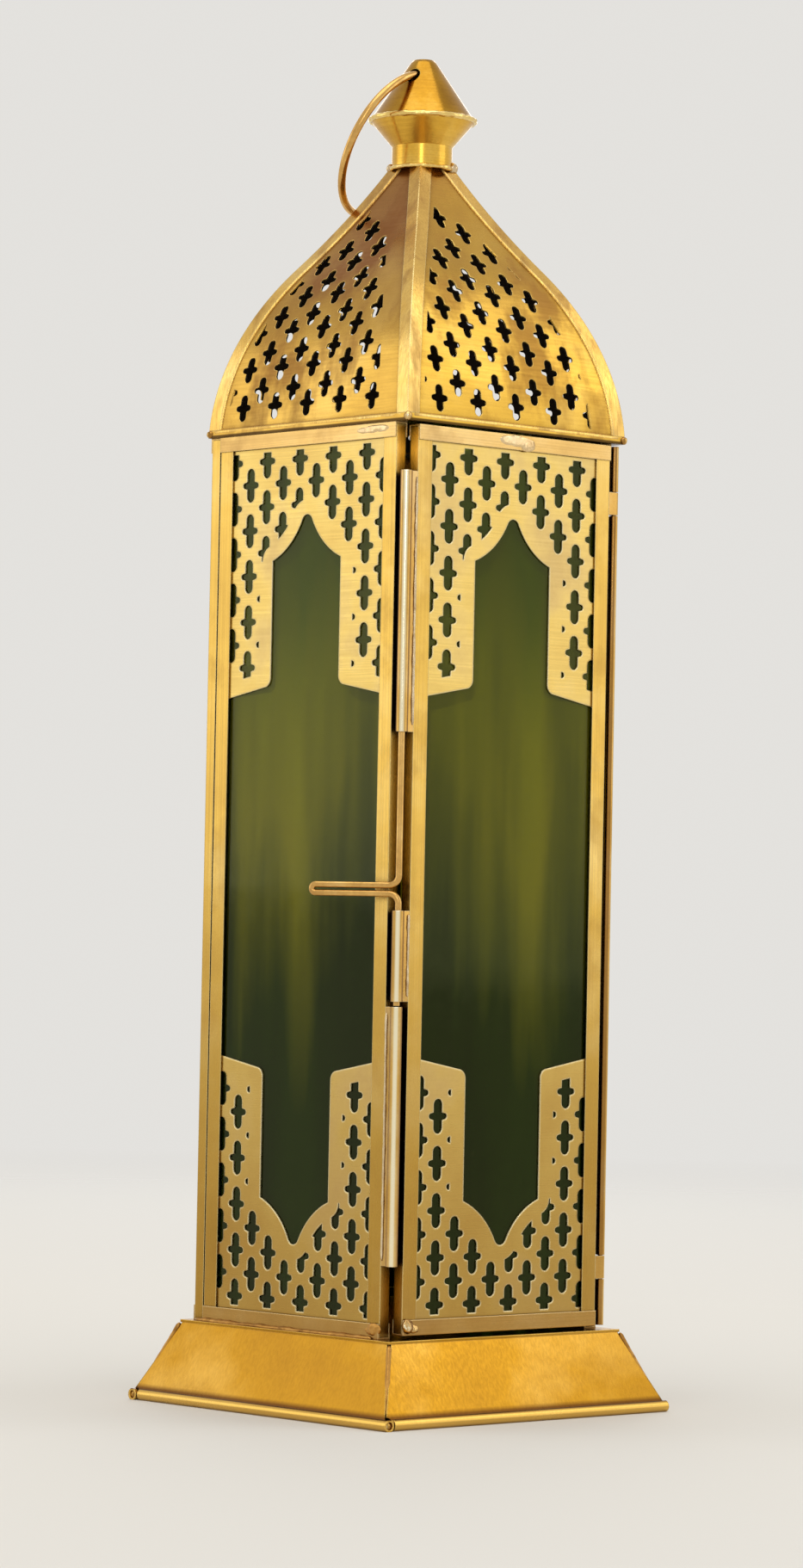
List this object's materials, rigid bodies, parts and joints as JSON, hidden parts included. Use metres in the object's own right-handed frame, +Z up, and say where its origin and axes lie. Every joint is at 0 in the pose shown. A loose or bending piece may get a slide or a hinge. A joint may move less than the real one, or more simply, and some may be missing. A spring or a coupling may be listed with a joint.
{
  "type": "candle lantern",
  "caption": "Tall square candle lantern in antique brass: green glass panes behind pierced plates, a hinged door with a drop bolt, a pierced ogee roof, finial and hanging ring.",
  "frame": {"origin": "centre of the foot, on the table", "axes": "+Z up; the door faces -Y, its hinge is at +X and its drop bolt at -X"},
  "size_m": [0.1134, 0.1134, 0.4],
  "materials": {
    "foot_sheet": "brushed, waxed, amber gold",
    "frame_strip": "aged, dull, pinkish tan",
    "pierced_sheet": "satin, pale gold",
    "roof_sheet": "aged, browned in patches",
    "roof_strip": "worn, scratched",
    "finial_sheet": "satin, aged",
    "drawn_wire": "smooth",
    "rolled_strip": "worn bright along the top",
    "green_glass": "olive green, mottled, dusty"
  },
  "bodies": {
    "lantern": {"base_skirt_front": "foot_sheet", "base_skirt_right": "foot_sheet", "base_skirt_back": "foot_sheet", "base_skirt_left": "foot_sheet", "floor_plate": "foot_sheet", "candle_cup": "foot_sheet", "right_panel_left_stile": "frame_strip", "right_panel_right_stile": "frame_strip", "right_panel_bottom_rail": "frame_strip", "right_panel_top_rail": "frame_strip", "right_panel_glass": "green_glass", "right_panel_upper_fret": "pierced_sheet", "right_panel_lower_fret": "pierced_sheet", "back_panel_left_stile": "frame_strip", "back_panel_right_stile": "frame_strip", "back_panel_bottom_rail": "frame_strip", "back_panel_top_rail": "frame_strip", "back_panel_glass": "green_glass", "back_panel_upper_fret": "pierced_sheet", "back_panel_lower_fret": "pierced_sheet", "left_panel_left_stile": "frame_strip", "left_panel_right_stile": "frame_strip", "left_panel_bottom_rail": "frame_strip", "left_panel_top_rail": "frame_strip", "left_panel_glass": "green_glass", "left_panel_upper_fret": "pierced_sheet", "left_panel_lower_fret": "pierced_sheet", "roof_seat": "roof_sheet", "roof_petal_front": "roof_sheet", "roof_petal_right": "roof_sheet", "roof_petal_back": "roof_sheet", "roof_petal_left": "roof_sheet", "roof_rib_front_left": "roof_strip", "roof_rib_front_right": "roof_strip", "roof_rib_back_right": "roof_strip", "roof_rib_back_left": "roof_strip", "finial_collar": "finial_sheet", "finial_funnel": "finial_sheet", "finial_cone": "finial_sheet", "keeper_tube": "rolled_strip", "frame_knuckles": "rolled_strip", "hinge_pin": "drawn_wire"},
    "door": {"door_latch_stile": "frame_strip", "door_hinge_stile": "frame_strip", "door_bottom_rail": "frame_strip", "door_top_rail": "frame_strip", "door_glass": "green_glass", "door_upper_fret": "pierced_sheet", "door_lower_fret": "pierced_sheet", "lower_guide_tube": "rolled_strip", "upper_guide_tube": "rolled_strip", "door_knuckles": "rolled_strip"},
    "bolt": {"latch_bolt": "drawn_wire"},
    "ring": {"hanging_ring": "drawn_wire"}
  },
  "joints": [
    {"name": "door_hinge", "type": "hinge", "parent": "lantern", "child": "door", "pos_m": [0.04175, -0.04175, 0.15], "axis": [0, 0, 1], "range_deg": [0, 165]},
    {"name": "bolt_slide", "type": "slide", "parent": "door", "child": "bolt", "axis": [0, 0, 1], "range_m": [-0.002, 0.038]},
    {"name": "ring_swing", "type": "hinge", "parent": "lantern", "child": "ring", "pos_m": [0, 0, 0.3946], "axis": [0.9397, 0.342, 0], "range_deg": [0, 302]}
  ]
}
